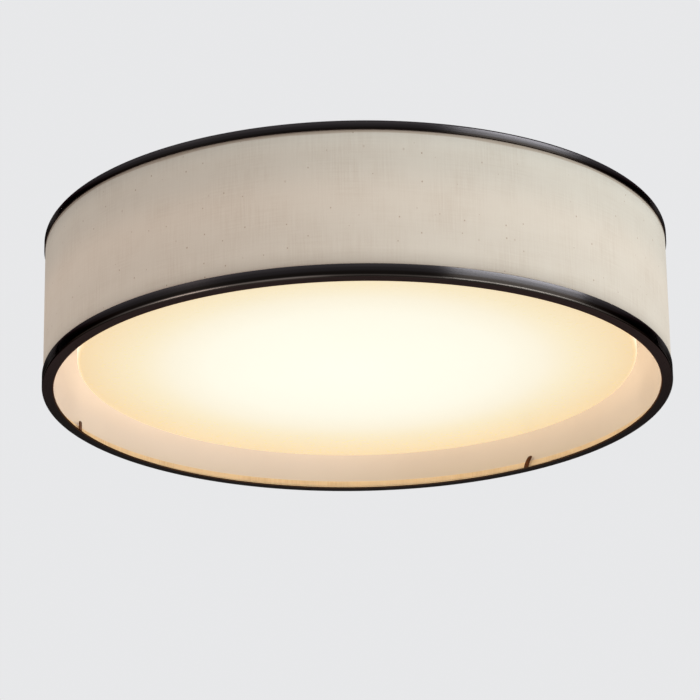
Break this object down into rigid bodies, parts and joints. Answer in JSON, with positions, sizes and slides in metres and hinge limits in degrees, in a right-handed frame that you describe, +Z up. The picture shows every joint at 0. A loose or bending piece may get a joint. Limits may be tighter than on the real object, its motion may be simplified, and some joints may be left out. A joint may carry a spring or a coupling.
{
  "type": "flush mount ceiling light",
  "caption": "Drum ceiling light: a linen shade between two dark trim rings hangs from a ceiling pan by drop arms, with an opal diffuser that turns onto catches over a ring-shaped lamp board.",
  "frame": {"origin": "centre of the crossbar's slot pattern in the plane of the ceiling", "axes": "+Z up into the ceiling along the light's axis, +X along the crossbar"},
  "size_m": [0.508, 0.508, 0.127],
  "materials": {
    "bronze": "satin dark bronze",
    "linen": "plain woven off-white linen",
    "styrene": "glossy white",
    "steel_wire": "bright drawn",
    "white_enamel": "gloss white",
    "aluminium": "plain",
    "zinc_steel": "zinc plated",
    "nickel": "bright nickel",
    "opal_acrylic": "satin opal",
    "green_screw": "green zinc",
    "white_board": "white solder mask on aluminium",
    "phosphor": "yellow phosphor",
    "white_nylon": "matt white",
    "circuit_board": "green laminate",
    "ferrite": "dark",
    "terminal_nylon": "natural nylon",
    "lead_jacket": "white flexible jacket",
    "grommet_rubber": "black"
  },
  "bodies": {
    "fixture": {"board_plug": "white_nylon", "board_screws": "zinc_steel", "bottom_edge_tape": "linen", "bottom_trim_ring": "bronze", "bottom_wire_ring": "steel_wire", "catch_rivets": "aluminium", "ceiling_pan": "white_enamel", "crossbar": "zinc_steel", "crossbar_studs": "zinc_steel", "dc_lead": "lead_jacket", "diffuser_catch_1": "white_enamel", "diffuser_catch_2": "white_enamel", "diffuser_catch_3": "white_enamel", "driver_board": "circuit_board", "driver_board_posts": "white_nylon", "driver_capacitors": "ferrite", "driver_case": "white_nylon", "driver_lid": "white_nylon", "driver_screws": "zinc_steel", "driver_transformer": "ferrite", "drop_arm_1": "white_enamel", "drop_arm_2": "white_enamel", "drop_arm_3": "white_enamel", "ground_screw": "green_screw", "lead_grommet": "grommet_rubber", "led_board": "white_board", "led_chips": "phosphor", "linen_cover": "linen", "mains_lead": "lead_jacket", "pan_nuts": "zinc_steel", "retaining_tab_1": "bronze", "retaining_tab_2": "bronze", "retaining_tab_3": "bronze", "shade_liner": "styrene", "shade_studs": "zinc_steel", "shade_washers": "zinc_steel", "terminal_block": "terminal_nylon", "terminal_screws": "zinc_steel", "top_edge_tape": "linen", "top_trim_ring": "bronze", "top_wire_ring": "steel_wire"},
    "diffuser": {"diffuser": "opal_acrylic"},
    "thumb_nut_1": {"thumb_nut_1": "nickel"},
    "thumb_nut_2": {"thumb_nut_2": "nickel"},
    "thumb_nut_3": {"thumb_nut_3": "nickel"}
  },
  "joints": [
    {"name": "diffuser_twist", "type": "hinge", "parent": "fixture", "child": "diffuser", "pos_m": [0, 0, -0.104], "axis": [0, 0, -1], "range_deg": [0, 15]},
    {"name": "thumb_nut_1_turn", "type": "hinge", "parent": "fixture", "child": "thumb_nut_1", "pos_m": [0.20611, 0.119, -0.0352], "axis": [0, 0, 1], "continuous": true},
    {"name": "thumb_nut_2_turn", "type": "hinge", "parent": "fixture", "child": "thumb_nut_2", "pos_m": [-0.20611, 0.119, -0.0352], "axis": [0, 0, 1], "continuous": true},
    {"name": "thumb_nut_3_turn", "type": "hinge", "parent": "fixture", "child": "thumb_nut_3", "pos_m": [0, -0.238, -0.0352], "axis": [0, 0, 1], "continuous": true}
  ]
}
